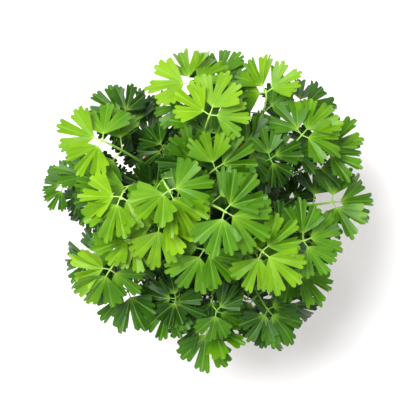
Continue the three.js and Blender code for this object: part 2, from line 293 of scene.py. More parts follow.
# %% Which crown each leaf grows from
soil_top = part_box("potting_soil")[1].z / MM
crown_nodes = sorted(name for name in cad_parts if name.startswith("crown_"))
crown_places = []
for name in crown_nodes:
    low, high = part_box(name)
    middle = (low + high) / 2 / MM
    crown_places.append(Vector((middle.x, middle.y, soil_top)))

plans = []
for leaf, (bearing, reach, heading, level, size) in enumerate(PLAN):
    inner = along(bearing, OUTERMOST * CROWN["ring_radius"] * reach, soil_top)
    crown = min(range(len(crown_places)), key=lambda c: (crown_places[c] - inner).length)
    plans.append({"leaf": leaf, "bearing": bearing, "reach": reach, "heading": heading, "level": level,
                  "size": size, "crown": crown})

for crown, at in enumerate(crown_places):
    outward = math.atan2(at.y, at.x)

    def leaning(plan):
        lean = along(plan["bearing"], plan["reach"] * CANOPY["radius"], soil_top) - at
        return ((math.atan2(lean.y, lean.x) - outward) / math.tau + 0.5) % 1

    grown = sorted((plan for plan in plans if plan["crown"] == crown), key=leaning)
    apart = min(360 / len(grown), STALK["apart"])
    for i, plan in enumerate(grown):
        plan["foot_bearing"] = math.degrees(outward) + (i - (len(grown) - 1) / 2) * apart
print("leaves per crown:", [sum(plan["crown"] == c for plan in plans) for c in range(len(crown_places))])

# %% [markdown]
# The growth rule has two halves, so that the search for the try stays quick: `place_leaf` gives only
# the last fork and what it depends on, and `grow` adds the stalk's curve and the leaflets.

# %% The growth rule
LEAFLETS = [
    {"at": STALK["fork_at"], "turn": 0, "size": 1, "neck": 6, "lift": 0},
    {"at": STALK["fork_at"], "turn": 76, "size": 0.9, "neck": 5, "lift": 6},
    {"at": STALK["fork_at"], "turn": -76, "size": 0.9, "neck": 5, "lift": 6},
    {"at": STALK["pair_at"], "turn": 66, "size": 0.78, "neck": 9, "lift": -4},
    {"at": STALK["pair_at"], "turn": -66, "size": 0.78, "neck": 9, "lift": -4},
]


def place_leaf(plan, attempt):
    leaf, reach = plan["leaf"], plan["reach"]
    late = min(attempt / TRIES, MOST_STRAY)
    stray = FIRST_STRAY + late
    dome = math.sqrt(1 - CANOPY["shoulder"] * reach * reach)
    sink = late * VARIES["sink"] * (1 + vary(leaf, attempt, "sink")) / 2
    level = plan["level"] * (1 + stray * VARIES["height"] * vary(leaf, attempt, "height") - sink)
    height = max(CANOPY["height"] * dome * level, CANOPY["lowest"])
    fork = along(plan["bearing"], reach * CANOPY["radius"], soil_top + height)
    fork.x += stray * VARIES["shift"] * vary(leaf, attempt, "shift_x")
    fork.y += stray * VARIES["shift"] * vary(leaf, attempt, "shift_y")
    return fork, height, late, stray


def grow(plan, attempt):
    leaf = plan["leaf"]
    fork, height, late, stray = place_leaf(plan, attempt)

    def varied(trait):
        return VARIES[trait] * vary(leaf, attempt, trait)

    size = plan["size"] * (1 - VARIES["shrink"] * late - VARIES["late_shrink"] * attempt / TRIES)
    heading = plan["heading"] + stray * varied("heading")
    pitch = math.radians(CANOPY["pitch"] - CANOPY["pitch_fall"] * plan["reach"] + varied("pitch"))

    lean = along(plan["foot_bearing"] + late * varied("foot_bearing"), 1, 0)
    beside = CROWN["radius"] + STALK["radius"] + 2 * SEAT_GAP
    apart = beside + late * (VARIES["foot_apart"] + varied("foot_apart"))
    rise = (STALK["straight_share"] + varied("rise")) * height
    lay = STALK["lean"] * (1 + stray * (1 + varied("lay")))
    clear = SEAT_GAP + STALK["radius"] * lay / math.hypot(lay, rise)
    foot = crown_places[plan["crown"]] + lean * apart + UP * clear

    forward = along(heading, math.cos(pitch), math.sin(pitch))
    side = turned(along(heading - 90, 1, 0), forward, varied("roll"))
    normal = side.cross(forward)
    arrive = (forward + STALK["arrive_up"] * UP).normalized()
    reach_back = (STALK["arrive_share"] + varied("arrive")) * (fork - foot).length
    curve = Curve(foot, foot + UP * rise + lean * lay, fork - arrive * reach_back, fork)

    leaflets = []
    for i, kind in enumerate(LEAFLETS):
        turn = math.radians(kind["turn"] + VARIES["turn"] * vary(leaf, i, "turn"))
        ahead = forward * math.cos(turn) - side * math.sin(turn)
        across = ahead.cross(normal)
        ahead = turned(ahead, across, kind["lift"] + VARIES["lift"] * vary(leaf, i, "lift"))
        across = turned(across, ahead, VARIES["tilt"] * vary(leaf, i, "tilt"))
        leaflets.append({
            "origin": curve.at(kind["at"]),
            "ahead": ahead,
            "across": across,
            "normal": across.cross(ahead),
            "length": BLADE["length"] * size * kind["size"],
            "neck": kind["neck"] * size,
            "droop": BLADE["droop"] + VARIES["droop"] * vary(leaf, i, "droop"),
            "fold": BLADE["fold"] + VARIES["fold"] * vary(leaf, i, "fold"),
        })
    return curve, leaflets


# %% [markdown]
# A stalk follows a cubic Bezier curve. The leaflets leave it at shares of its real length, which a
# Bezier's own parameter isn't, so the curve keeps a table of lengths to look the parameter up in.

# %% The stalk's curve
class Curve:
    def __init__(self, *points, steps=200):
        self.points = np.array([tuple(point) for point in points])
        self.parameters = np.linspace(0, 1, steps + 1)
        walked = np.linalg.norm(np.diff(self.bezier(self.parameters), axis=0), axis=1)
        self.lengths = np.concatenate([[0], np.cumsum(walked)])

    def bezier(self, t):
        t = np.atleast_1d(t)[:, None]
        a, b, c, d = self.points
        return (1 - t) ** 3 * a + 3 * (1 - t) ** 2 * t * b + 3 * (1 - t) * t**2 * c + t**3 * d

    def at(self, share):
        t = np.interp(share * self.lengths[-1], self.lengths, self.parameters)
        return Vector(self.bezier(t)[0])


# %% [markdown]
# A blade arches down towards its tip and folds up along its midrib.

# %% Where a blade's points are
CREASE = 0.05  # how softly a blade folds at its midrib


def on_blade(leaflet, x, y, lift=0):
    """A leaflet's point: x across and y along are shares of its length, and lift is in millimetres."""
    fold = math.sqrt(x * x + CREASE * CREASE) - CREASE
    bend = leaflet["length"] * (leaflet["fold"] * fold - leaflet["droop"] * max(y, 0) ** 2)
    return (
        leaflet["origin"]
        + leaflet["ahead"] * (leaflet["neck"] + y * leaflet["length"])
        + leaflet["across"] * (x * leaflet["length"])
        + leaflet["normal"] * (bend + lift)
    )


# %% [markdown]
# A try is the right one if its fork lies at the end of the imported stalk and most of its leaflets' tips
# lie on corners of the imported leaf. A KD tree answers quickly which corner is nearest to a point. The
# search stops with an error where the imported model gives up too, so it can't run for ever.

# %% Find each leaf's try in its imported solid
def tree_of(points):
    tree = KDTree(len(points))
    for i, point in enumerate(points):
        tree.insert(point, i)
    tree.balance()
    return tree


def find_leaf(plan):
    name = "leaf_%02d" % (plan["leaf"] + 1)
    tree = tree_of([corner.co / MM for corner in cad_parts[name].data.vertices])
    for attempt in range(MOST_TRIES):
        fork = place_leaf(plan, attempt)[0]
        if tree.find(fork)[2] > 1.5 * STALK["radius"]:
            continue
        curve, leaflets = grow(plan, attempt)
        misses = sorted(tree.find(on_blade(leaflet, 0, 1))[2] for leaflet in leaflets)
        if misses[2] < 0.75 * BLADE["thickness"]:
            return attempt, curve, leaflets
    raise ValueError("no try gives the packed " + name)


leaves = []
for plan in plans:
    attempt, curve, leaflets = find_leaf(plan)
    leaves.append((plan, curve, leaflets))
    plan["attempt"] = attempt
print("tries found:", [plan["attempt"] for plan in plans])

# %% [markdown]
# ## The outline of a leaflet
# A leaflet of flat-leaf parsley is a fan. Straight sides spread from its neck, two slits part it into
# three lobes, and each lobe ends in three or four round teeth. Seen from the neck, every tooth has a
# bearing and a distance, so the outline is a short list of teeth, and the notches are worked out.

# %% Teeth, notches and slits
SIDE_TEETH = [(23.5, 0.87), (35, 0.93), (46.5, 0.88), (58, 0.74)]
MIDDLE_TEETH = [(-9.5, 0.94), (0, 1.0), (9.5, 0.94)]
TEETH = [(-bearing, distance) for bearing, distance in reversed(SIDE_TEETH)] + MIDDLE_TEETH + SIDE_TEETH
EDGE = (67, 0.40)
NOTCH = 0.93
SHOULDER = {"across": 0.4, "distance": 0.985}
SLIT = {"after": (4, 7), "root": 0.36, "across": 0.62, "distance": 0.94}
SMALL_SLIT = {"after": (2, 9), "root": 0.7, "often": 0.4}
PER_TOOTH = 4  # columns of the blade's grid to a tooth: notch, shoulder, tip, shoulder
COLUMNS = PER_TOOTH * len(TEETH)


def outline(leaf, i):
    """Bearing in degrees and distance, in shares of the length, for each column of the blade's grid."""
    width = 1 + 0.12 * vary(leaf, i, "width")
    skew = 4 * vary(leaf, i, "skew")
    teeth = []
    for k, (bearing, distance) in enumerate(TEETH):
        wild = vary(leaf, 11 * i + k, "ruffle")
        teeth.append((bearing * width + skew * abs(bearing) / 30, distance * (1 + 0.045 * wild)))
    notches = [(-EDGE[0] * width, EDGE[1])]
    for k in range(1, len(teeth)):
        (a, near), (b, far) = teeth[k - 1], teeth[k]
        reach = NOTCH * min(near, far)
        if k in SLIT["after"]:
            reach = SLIT["root"]
        if k in SMALL_SLIT["after"] and vary(leaf, 3 * i + k, "slit") > SMALL_SLIT["often"]:
            reach = SMALL_SLIT["root"]
        notches.append(((a + b) / 2, reach))
    notches.append((EDGE[0] * width, EDGE[1]))

    columns = []
    for k, (tip, far) in enumerate(teeth):
        columns.append(notches[k])
        for side in (k, k + 1):
            shape = SLIT if side in SLIT["after"] else SHOULDER
            at = notches[side][0]
            columns.append((at + shape["across"] * (tip - at), far * shape["distance"]))
            if side == k:
                columns.append((tip, far))
    columns.append(notches[-1])
    return columns


print(len(TEETH), "teeth on", COLUMNS, "columns")

# %% [markdown]
# ## A blade from a flat grid
# `create_grid` makes a flat sheet of quads. Each of its columns becomes a ray from the neck to the
# outline, and each row a step outwards. The sheet isn't flat: every lobe is folded along its own main
# vein and curls by itself, and the small veins lie in shallow furrows. Extruding all the faces at once
# gives a second sheet and the rim between them, and moving that sheet down gives the blade its
# thickness, with no spikes where the sheet is sharply folded.

# %% The blade
THICKNESS = 0.34
SLIT_ROW = 3
ROWS = 6
RIBS = [2.5, 5.5, 8.5]  # the lobes' main veins, counted in teeth across the blade
HALF_LOBE = 1.5
PANEL = 0.17
PANEL_SINK = 0.4
RIB_SOFTNESS = 0.3
LOBE_CURL = 0.17
PLEAT = 0.0022
# painted shade: a leaf is painted darker the deeper it stands under the dome
SHADE_DEPTH = 85  # this far below the dome, a leaf is one whole step darker
SHARP = math.radians(50)


def dome(x, y):
    """The canopy's height above the ground."""
    reach = min((x * x + y * y) / CANOPY["radius"] ** 2, 1)
    return soil_top + CANOPY["height"] * math.sqrt(1 - CANOPY["shoulder"] * reach)


def shaded(tint, place):
    """The tint of a point with painted shade: the deeper it is under the dome, the darker it is painted."""
    return tint - max(dome(place.x, place.y) - place.z, 0) / SHADE_DEPTH


def swell(leaf, i, column, radius, curls):
    """How high a blade stands off its plain surface, as a share of its length."""
    tooth = column / PER_TOOTH
    from_rib = min(abs(tooth - rib) for rib in RIBS) / HALF_LOBE
    panel = PANEL * (1 + 0.9 * vary(leaf, i, "lobe"))
    fold = panel * radius * (math.hypot(from_rib, RIB_SOFTNESS) - RIB_SOFTNESS)
    first, last = SLIT["after"]
    lobe = 0 if tooth < first else 1 if tooth <= last else 2
    curl = curls[lobe] * max(radius - SLIT["root"], 0) ** 2 / (1 - SLIT["root"]) ** 2
    furrow = PLEAT * math.cos(math.tau * column / PER_TOOTH) * min(3 * radius, 1)
    return fold + curl + furrow - PANEL * PANEL_SINK * radius


def blade(leaf, i, leaflet, tint):
    bm = bmesh.new()
    across = bm.verts.layers.float.new("vein_u")
    outwards = bm.verts.layers.float.new("vein_v")
    shade = bm.verts.layers.float.new("tint")
    bmesh.ops.create_grid(bm, x_segments=COLUMNS, y_segments=ROWS, size=0.5)
    rays = outline(leaf, i)
    curls = [LOBE_CURL * vary(5 * leaf + i, lobe, "lobe") for lobe in range(3)]
    for vert in bm.verts:
        column = round((vert.co.x + 0.5) * COLUMNS)
        row = round((vert.co.y + 0.5) * ROWS)
        bearing, distance = rays[column]
        root = min(SLIT["root"], distance)
        radius = root * min(row / SLIT_ROW, 1) + (distance - root) * max(row / SLIT_ROW - 1, 0)
        x = radius * math.sin(math.radians(bearing))
        y = radius * math.cos(math.radians(bearing))
        lift = leaflet["length"] * swell(leaf, i, column, radius, curls)
        place = on_blade(leaflet, x, y, lift)
        vert[across] = column / COLUMNS
        vert[outwards] = radius
        # painted shade: the stored tint is darkened by the depth under the dome
        vert[shade] = shaded(tint, place)
        vert.co = place * MM
        vert.co.z = min(vert.co.z, cad_box[1].z)
    bmesh.ops.remove_doubles(bm, verts=bm.verts, dist=0.02 * MM)
    below = bmesh.ops.extrude_face_region(bm, geom=bm.faces[:], use_keep_orig=True)["geom"]
    sunk = [item for item in below if isinstance(item, bmesh.types.BMVert)]
    bmesh.ops.translate(bm, verts=sunk, vec=leaflet["normal"] * -THICKNESS * MM)
    bmesh.ops.recalc_face_normals(bm, faces=bm.faces)
    if bm.calc_volume(signed=True) < 0:
        bmesh.ops.reverse_faces(bm, faces=bm.faces)
    for face in bm.faces:
        face.material_index = 0 if face.normal.dot(leaflet["normal"]) > 0 else 1
    for edge in bm.edges:
        edge.smooth = edge.calc_face_angle(0) < SHARP
    return bm


# %% [markdown]
# ## Stalks
# A stalk is a tube: a circle extruded ring by ring along the curve. Each ring is turned as little as
# possible from the one before, so that the tube doesn't twist. One vertex of the ring is pulled in,
# for the groove that runs along a parsley stalk.

# %% A tube along points
STALK_SIDES = 8
STALK_RINGS = 15
GROOVE = 0.5
THICK = {"end": 0.72, "taper": 0.4, "flare": 0.3, "flare_rate": 14}
NECK = {"shares": (0, 0.35, 0.7, 1), "radii": (0.62, 0.5, 0.46, 0.3), "sides": 6, "into_blade": 0.08}


def tube(bm, points, radii, sides, groove=1.0):
    tangents = [(after - before).normalized() for before, after in zip(points, points[1:])]
    tangents.append(tangents[-1])
    start = tangents[0].orthogonal().normalized()
    ring = bmesh.ops.create_circle(bm, cap_ends=True, segments=sides, radius=1)["verts"]
    ring[0].co *= groove
    edges = {edge for vert in ring for edge in vert.link_edges}
    place = Matrix.Identity(4)
    for i, (point, radius, tangent) in enumerate(zip(points, radii, tangents)):
        start = (start - tangent * start.dot(tangent)).normalized()
        turn = Matrix((start, tangent.cross(start), tangent)).transposed()
        there = Matrix.Translation(point) @ (turn * radius).to_4x4()
        if i:
            grown = bmesh.ops.extrude_edge_only(bm, edges=list(edges))["geom"]
            ring = [item for item in grown if isinstance(item, bmesh.types.BMVert)]
            edges = [item for item in grown if isinstance(item, bmesh.types.BMEdge)]
            edges = [edge for edge in edges if all(vert in ring for vert in edge.verts)]
        bmesh.ops.transform(bm, matrix=there @ place.inverted(), verts=ring)
        place = there
    bmesh.ops.contextual_create(bm, geom=edges)


def stalk(curve, leaflets, size, tint):
    bm = bmesh.new()
    shade = bm.verts.layers.float.new("tint")
    outwards = bm.verts.layers.float.new("vein_v")
    shares = [i / STALK_RINGS for i in range(STALK_RINGS + 1)]
    radii = []
    for share in shares:
        flare = THICK["flare"] * max(0, 1 - THICK["flare_rate"] * share)
        radii.append(MM * size * (THICK["end"] + THICK["taper"] * (1 - share) + flare))
    tube(bm, [curve.at(share) * MM for share in shares], radii, STALK_SIDES, GROOVE)
    for leaflet in leaflets:
        start, end = leaflet["origin"], on_blade(leaflet, 0, NECK["into_blade"])
        points = [start.lerp(end, share) * MM for share in NECK["shares"]]
        tube(bm, points, [radius * MM for radius in NECK["radii"]], NECK["sides"])
    bmesh.ops.recalc_face_normals(bm, faces=bm.faces)
    for vert in bm.verts:
        place = vert.co / MM
        # painted shade: the stored tint is darkened by the depth under the dome
        vert[shade] = shaded(tint, place)
        vert[outwards] = (place.z - soil_top) / CANOPY["height"]
    for face in bm.faces:
        face.material_index = 2
    return bm


# %% [markdown]
# ## Leaf paint
# The upper side of a blade is a fresh mid green, yellower where the leaf is young, with paler veins that
# meet at the neck. The lower side is lighter and duller. Light also comes through a thin blade, so both
# sides mix in a translucent shader by a constant share. Deep in the clump, painted shade darkens them.

# %% Leaf, underside and stalk paints
THROUGH = {"colour": (0.20, 0.44, 0.006), "share": 0.2}


def thin(paint):
    """Lets some of the light through."""
    glow = paint.node("ShaderNodeBsdfTranslucent", {}, {"Color": THROUGH["colour"]})
    surface = Value(paint, paint.shader.outputs[0])
    mixed = paint.node("ShaderNodeMixShader", {}, {0: THROUGH["share"], 1: surface, 2: glow})
    paint.put(paint.tree.nodes["Material Output"].inputs["Surface"], mixed)


def veins(paint):
    """Masks of the main and the small veins, and the distance from the neck."""
    tooth = paint.attribute("vein_u") * len(TEETH)
    outwards = paint.attribute("vein_v")
    from_small = ((tooth.fraction() - 0.5).size()) * outwards
    from_main = ((((tooth - 1) * (1 / 3)).fraction() - 0.5).size()) * outwards * 3
    return from_main.ease(0.10, 0.02), from_small.ease(0.07, 0.01), outwards


def leaf_paint():
    paint = Paint("parsley_leaf_upper", 0.4, 0.3)
    main, small, outwards = veins(paint)
    # the tint attribute holds the leaf's own tone with painted shade deep under the dome
    tone_and_shade = paint.attribute("tint") + (paint.noise(70, 3) - 0.5) * 0.4
    green = paint.node("ShaderNodeValToRGB", {"stops": [
        (0.0, (0.006, 0.034, 0.001)), (0.3, (0.022, 0.095, 0.001)),
        (0.65, (0.078, 0.235, 0.002)), (1.0, (0.240, 0.460, 0.006)),
    ]}, {0: tone_and_shade})
    small_veined = paint.mix(small * 0.07, green, (0.26, 0.50, 0.04))
    veined = paint.mix(main * 0.26, small_veined, (0.30, 0.54, 0.07))
    base = paint.mix(outwards.ease(0.30, 0.02) * 0.5, veined, (0.26, 0.50, 0.03))
    cells = paint.node("ShaderNodeTexVoronoi", {"feature": "DISTANCE_TO_EDGE"},
                       {"Vector": paint.place(), "Scale": 900})
    relief = cells.ease(0.0, 0.25) * 0.35 - main - small * 0.4
    paint.set(Base_Color=base, Roughness=0.34 + paint.noise(400, 2) * 0.16,
              Normal=paint.bump(relief, 0.00012, 0.6))
    thin(paint)
    return paint


def underside_paint():
    paint = Paint("parsley_leaf_lower", 0.6, 0.3)
    main, small, outwards = veins(paint)
    # the tint attribute holds the leaf's own tone with painted shade deep under the dome
    green = paint.node("ShaderNodeValToRGB", {"stops": [
        (0.0, (0.030, 0.120, 0.012)), (0.5, (0.120, 0.310, 0.035)), (1.0, (0.260, 0.500, 0.080)),
    ]}, {0: paint.attribute("tint") + (paint.noise(90, 3) - 0.5) * 0.4})
    veined = paint.mix(main * 0.6 + small * 0.35, green, (0.40, 0.60, 0.18))
    paint.set(Base_Color=veined, Normal=paint.bump(main + small * 0.5, 0.00015, 0.7))
    thin(paint)
    return paint


def stalk_paint():
    paint = Paint("parsley_stalk", 0.4, 0.45)
    # the tint attribute holds the stalk's own tone with painted shade deep under the dome
    colour = paint.node("ShaderNodeValToRGB", {"stops": [
        (0.0, (0.055, 0.180, 0.010)), (0.45, (0.150, 0.360, 0.025)), (1.0, (0.380, 0.600, 0.110)),
    ]}, {0: paint.attribute("tint") + 0.15 + (paint.noise(220, 4, 0.6) - 0.5) * 0.5})
    blanched = paint.mix(paint.attribute("vein_v").ease(0.30, 0.0) * 0.7, colour, (0.42, 0.50, 0.20))
    paint.set(Base_Color=blanched, Normal=paint.bump(paint.noise(900, 2), 0.0001, 0.4))
    return paint


leaf_paints = [leaf_paint(), underside_paint(), stalk_paint()]
print("paints:", [paint.material.name for paint in leaf_paints])

# %% [markdown]
# Every leaf is one piece: its stalk and its five blades, joined into one mesh. It stands for the packed
# leaf of the same number. Leaves differ a little in tint, and so do the blades of one leaf.

# %% Grow the leaves
TINT = {"young": 0.78, "leaf": 0.22, "blade": 0.12}


def join(bm, other):
    mesh = bpy.data.meshes.new("part")
    other.to_mesh(mesh)
    other.free()
    bm.from_mesh(mesh)
    bpy.data.meshes.remove(mesh)


def grow_leaf(name, plan, curve, leaflets, node=None):
    leaf = plan["leaf"]
    youth = TINT["young"] + TINT["leaf"] * vary(leaf, 0, "tint")
    bm = bmesh.new()
    for layer in ("vein_u", "vein_v", "tint"):
        bm.verts.layers.float.new(layer)
    join(bm, stalk(curve, leaflets, plan["size"], youth))
    for i, leaflet in enumerate(leaflets):
        join(bm, blade(leaf, i, leaflet, youth + TINT["blade"] * vary(leaf, i + 1, "tint")))
    faces = sum(len(face.verts) - 2 for face in bm.faces)
    piece(name, bm, leaf_paints, node)
    return faces


triangles = 0
for plan, curve, leaflets in leaves:
    number = "%02d" % (plan["leaf"] + 1)
    triangles += grow_leaf("parsley_leaf_" + number, plan, curve, leaflets, "leaf_" + number)
print("leaves:", len(leaves), "with", triangles, "triangles")

# %% [markdown]
# ## Young leaves in the gaps
# A full clump shows no bare soil between its leaves, because young leaves push up into every gap. The
# canopy is looked at from above as a grid of small cells. The cell furthest from any blade is the worst
# gap, and a small leaf is grown to it, by the same rule as the large ones. It takes the try that covers
# the most bare cells and keeps clear of every leaf that is already there.

# %% Which cells of the canopy are bare
CELL = 4
CLEAR = 1.0
GAPS = {
    "within": 84, "leaves": 30, "looks": 45, "tries": 8, "try_step": 90,
    "levels": (0.86, 0.74, 0.62, 0.5), "size": 0.82,
}
RIM = {"inside": 12, "outside": 4, "above": 3}  # kept free round the pot's rim
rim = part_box("clay_pot")[1] / MM


def blade_points(leaflets):
    points = []
    for leaflet in leaflets:
        for j in range(1, 9):
            y = j / 8
            half = min(1.2 * y, 0.5, 1.7 - 1.6 * y)
            points += [on_blade(leaflet, half * k / 3, y) for k in range(-3, 4)]
    return points


def leaf_points(curve, leaflets):
    rings = round(curve.lengths[-1] / 3)
    return blade_points(leaflets) + [curve.at(i / rings) for i in range(1, rings)]


def cells_of(leaflets):
    return {(round(point.x / CELL), round(point.y / CELL)) for point in blade_points(leaflets)}


def blocked(point):
    """Whether a point is in the soil or at the pot's rim."""
    if point.z < soil_top + 1:
        return True
    across = rim.x - RIM["inside"] < math.hypot(point.x, point.y) < rim.x + RIM["outside"]
    return across and point.z < rim.z + RIM["above"]


taken = [point for _, curve, leaflets in leaves for point in leaf_points(curve, leaflets)]
covered = set().union(*(cells_of(leaflets) for _, _, leaflets in leaves))
steps = range(-GAPS["within"] // CELL, GAPS["within"] // CELL + 1)
bare = {(a, b) for a in steps for b in steps if math.hypot(a, b) * CELL < GAPS["within"]} - covered
print("bare cells before:", len(bare))

# %% The shapes that a young leaf could take
GOLDEN = 137.5


def young_tries(gap, leaf):
    inner = Vector((gap.x / 2, gap.y / 2, soil_top))
    crown = min(range(len(crown_places)), key=lambda c: (crown_places[c] - inner).length)
    levels = GAPS["levels"]
    for attempt in range(GAPS["tries"] * len(levels)):
        plan = {
            "leaf": leaf, "bearing": math.degrees(math.atan2(gap.y, gap.x)),
            "reach": math.hypot(gap.x, gap.y) / CANOPY["radius"], "heading": GOLDEN * attempt,
            "level": levels[attempt % len(levels)], "size": GAPS["size"], "crown": crown,
            "foot_bearing": GOLDEN * attempt,
        }
        curve, leaflets = grow(plan, attempt * GAPS["try_step"] // len(levels))
        yield plan, curve, leaflets


def best_young(gap, leaf):
    """The clear shape that covers the most bare cells, or None."""
    tree = tree_of(taken)
    best, most = None, 0
    for plan, curve, leaflets in young_tries(gap, leaf):
        if any(blocked(point) or tree.find(point)[2] < CLEAR for point in leaf_points(curve, leaflets)):
            continue
        gained = len(cells_of(leaflets) & bare)
        if gained > most:
            best, most = (plan, curve, leaflets), gained
    return best


# %% Grow a young leaf to the worst gap, and again
def to_covered(cell):
    return min((a - cell[0]) ** 2 + (b - cell[1]) ** 2 for a, b in covered)


young = []
open_cells = set(bare)
for _ in range(GAPS["looks"]):
    if not open_cells or len(young) == GAPS["leaves"]:
        break
    a, b = max(sorted(open_cells), key=to_covered)
    open_cells.discard((a, b))
    found = best_young(Vector((a * CELL, b * CELL, soil_top)), len(leaves) + len(young))
    if found is None:
        continue
    plan, curve, leaflets = found
    young.append(found)
    taken += leaf_points(curve, leaflets)
    covered |= cells_of(leaflets)
    bare -= covered
    open_cells &= bare
for plan, curve, leaflets in young:
    grow_leaf("young_leaf_%02d" % (plan["leaf"] - len(leaves) + 1), plan, curve, leaflets)
print("young leaves:", len(young), "bare cells after:", len(bare))

# %% [markdown]
# ## The clay pot
# A clay pot is turned on a wheel, so it is a profile spun round the axis. The profile runs from the
# middle of the foot, up the outside, over the rounded rim and down the inside. Spinning leaves a seam
# and a pole on the axis, which are merged. A very small waviness keeps the wall from looking moulded.

# %% The pot
POT = {"foot_radius": 44, "wall": 5, "floor": 6, "rim_height": 24, "rim_thickness": 8, "rim_lip": 5}
DRAIN = {"radius": 5, "ring_radius": 22, "count": 3}
POT_STEPS = 96
pot_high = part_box("clay_pot")[1] / MM


def spun(profile, steps):
    """A closed solid from [radius, height] points in millimetres that start and end on the axis."""
    bm = bmesh.new()
    verts = [bm.verts.new((radius * MM, 0, height * MM)) for radius, height in profile]
    edges = [bm.edges.new(pair) for pair in zip(verts, verts[1:])]
    bmesh.ops.spin(bm, geom=verts + edges, axis=UP, cent=(0, 0, 0), steps=steps, angle=math.tau,
                   use_merge=True)
    bmesh.ops.remove_doubles(bm, verts=bm.verts, dist=0.01 * MM)
    bmesh.ops.recalc_face_normals(bm, faces=bm.faces)
    return bm


def pot_profile():
    rim, top = pot_high.x, pot_high.z
    foot, under = POT["foot_radius"], top - POT["rim_height"]
    mouth = rim - POT["rim_thickness"]
    neck = rim - POT["rim_lip"]
    inside_foot = foot - POT["wall"]
    outside = [(foot + (neck - foot) * i / 10, 1.5 + (under - 1.5) * i / 10) for i in range(11)]
    inside = [
        (mouth + (inside_foot - mouth) * i / 8, top - 2 + (POT["floor"] + 2 - top) * i / 8) for i in range(8)
    ]
    return (
        [(0, 0), (foot - 12, 0), (foot - 1.5, 0), (foot - 0.4, 0.4)] + outside
        + [(rim - 2.2, under), (rim - 1.2, under + 0.5), (rim - 0.9, under + 1.6), (rim - 0.4, top - 8)]
        + [(rim, top - 3.2), (rim - 0.5, top - 1.2), (rim - 1.8, top - 0.2), (rim - 3.5, top)]
        + [(mouth + 2.6, top), (mouth + 1, top - 0.4), (mouth + 0.2, top - 1.2)] + inside
        + [(inside_foot + 0.4, POT["floor"] + 1), (inside_foot - 1.5, POT["floor"])]
        + [(20, POT["floor"]), (0, POT["floor"])]
    )


pot_bm = spun(pot_profile(), POT_STEPS)
for vert in pot_bm.verts:
    reach = math.hypot(vert.co.x, vert.co.y)
    if reach > (POT["foot_radius"] - 2) * MM and MM < vert.co.z < (pot_high.z - 1) * MM:
        wave = noise.noise(Vector((vert.co.x, vert.co.y, 9 * vert.co.z)) / (40 * MM))
        vert.co.xy *= 1 - 0.15 * MM * (1 + wave) / reach
pot = piece("terracotta_pot", pot_bm, [], "clay_pot")
print("pot faces:", len(pot.data.polygons))

# %% [markdown]
# Three drain holes are cut through the floor by a Boolean modifier, which is applied at once. The
# cutters are plain cylinders that reach past both faces.

# %% Drain holes
cutter_bm = bmesh.new()
for i in range(DRAIN["count"]):
    at = along(90 + 360 * i / DRAIN["count"], DRAIN["ring_radius"], POT["floor"] / 2) * MM
    radius = DRAIN["radius"] * MM
    bmesh.ops.create_cone(cutter_bm, cap_ends=True, segments=32, radius1=radius, radius2=radius,
                          depth=4 * POT["floor"] * MM, matrix=Matrix.Translation(at))
cutter_mesh = bpy.data.meshes.new("drain_cutter")
cutter_bm.to_mesh(cutter_mesh)
cutter_bm.free()
cutter = bpy.data.objects.new("drain_cutter", cutter_mesh)
bpy.context.scene.collection.objects.link(cutter)
drill = pot.modifiers.new("drill", "BOOLEAN")
drill.operation = "DIFFERENCE"
drill.object = cutter
drilled = bpy.data.meshes.new_from_object(pot.evaluated_get(bpy.context.evaluated_depsgraph_get()))
pot.modifiers.clear()
pot.data = drilled
bpy.data.objects.remove(cutter)
print("pot faces with drain holes:", len(drilled.polygons))

# %% [markdown]
# Fired clay is matt and orange-brown, mottled by the fire. A pot in use has a pale bloom of salts that
# water leaves on the outside, in cloudy patches, mostly on the lower wall.

# %% Clay paint
def clay_paint():
    paint = Paint("terracotta", 0.85, 0.25)
    cloud = paint.noise(22, 5, 0.6)
    grain = paint.noise(420, 3)
    clay = paint.node("ShaderNodeValToRGB", {"stops": [
        (0.25, (0.40, 0.135, 0.055)), (0.5, (0.52, 0.195, 0.085)), (0.8, (0.62, 0.27, 0.13)),
    ]}, {0: cloud * 0.7 + grain * 0.3})
    height = paint.node("ShaderNodeSeparateXYZ", {}, {0: paint.place()}, "Z")
    low_wall = height.ease(0.085, 0.01)
    bloom = paint.noise(35, 6, 0.7).ease(0.46, 0.72) * (0.12 + low_wall * 0.4)
    colour = paint.mix(bloom, clay, (0.72, 0.60, 0.50))
    pits = paint.noise(1500, 2)
    paint.set(Base_Color=colour, Roughness=0.78 + grain * 0.18,
              Normal=paint.bump(pits * 0.6 + grain, 0.0003, 0.5))
    return paint


clay = clay_paint()
pot.data.materials.clear()
pot.data.materials.append(clay.material)
for edge in pot.data.edges:
    edge.use_edge_sharp = False
pot.data.set_sharp_from_angle(angle=math.radians(40))

# %% [markdown]
# ## Soil
# The packed soil has the right shape, so it stays and only gets a paint. Potting soil is crumbly, which
# a bump can't show at its rim, so a layer of crumbs lies on it, with a few white grains of perlite. A
# crumb is a small icosphere, squashed and turned, and only twenty faces are needed at this size.

# %% Soil and perlite paints
def soil_paint():
    paint = Paint("potting_soil_crumbs", 0.95, 0.15)
    colour = paint.node("ShaderNodeValToRGB", {"stops": [
        (0.3, (0.012, 0.007, 0.004)), (0.55, (0.040, 0.024, 0.014)), (0.8, (0.095, 0.060, 0.035)),
    ]}, {0: paint.noise(260, 6, 0.7)})
    paint.set(Base_Color=colour, Normal=paint.bump(paint.noise(500, 6, 0.7), 0.0015, 0.9))
    return paint


def perlite_paint():
    paint = Paint("perlite", 0.9, 0.2)
    colour = paint.mix(paint.noise(900, 3), (0.80, 0.78, 0.72), (0.55, 0.50, 0.42))
    paint.set(Base_Color=colour, Normal=paint.bump(paint.noise(1800, 3), 0.0003, 0.6))
    return paint


soil_finish = soil_paint()
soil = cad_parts["potting_soil"]
for slot in soil.material_slots:
    slot.material = soil_finish.material


FREE = {"wall": 2.5, "crown": 2.6, "foot": 3}  # no grain lies nearer than this


